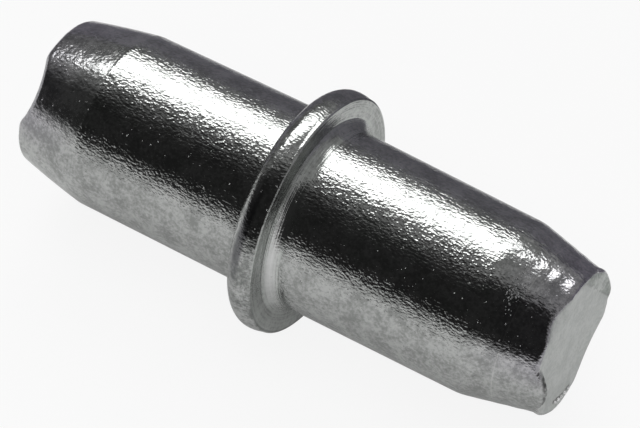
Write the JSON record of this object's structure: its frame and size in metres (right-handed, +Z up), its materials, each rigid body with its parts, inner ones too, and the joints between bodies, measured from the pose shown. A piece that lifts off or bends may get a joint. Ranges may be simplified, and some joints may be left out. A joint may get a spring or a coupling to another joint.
{
  "type": "shelf support pin",
  "caption": "Cold-headed steel shelf support pin: a collar part-way along, a shank each side of it, and both ends tapered and cropped.",
  "frame": {"origin": "on the pin's axis, where the back of the collar crosses it", "axes": "+X along the pin, out of the cabinet side towards the shelf; +Z up; +Y to the left of someone looking along +X"},
  "size_m": [0.0159, 0.0068, 0.0067],
  "materials": {
    "zinc_plated_steel": "bright zinc plating over cold-headed steel, finely dimpled, matt where the ends were cropped"
  },
  "bodies": {
    "root": {"support_pin": "zinc_plated_steel"}
  },
  "joints": []
}
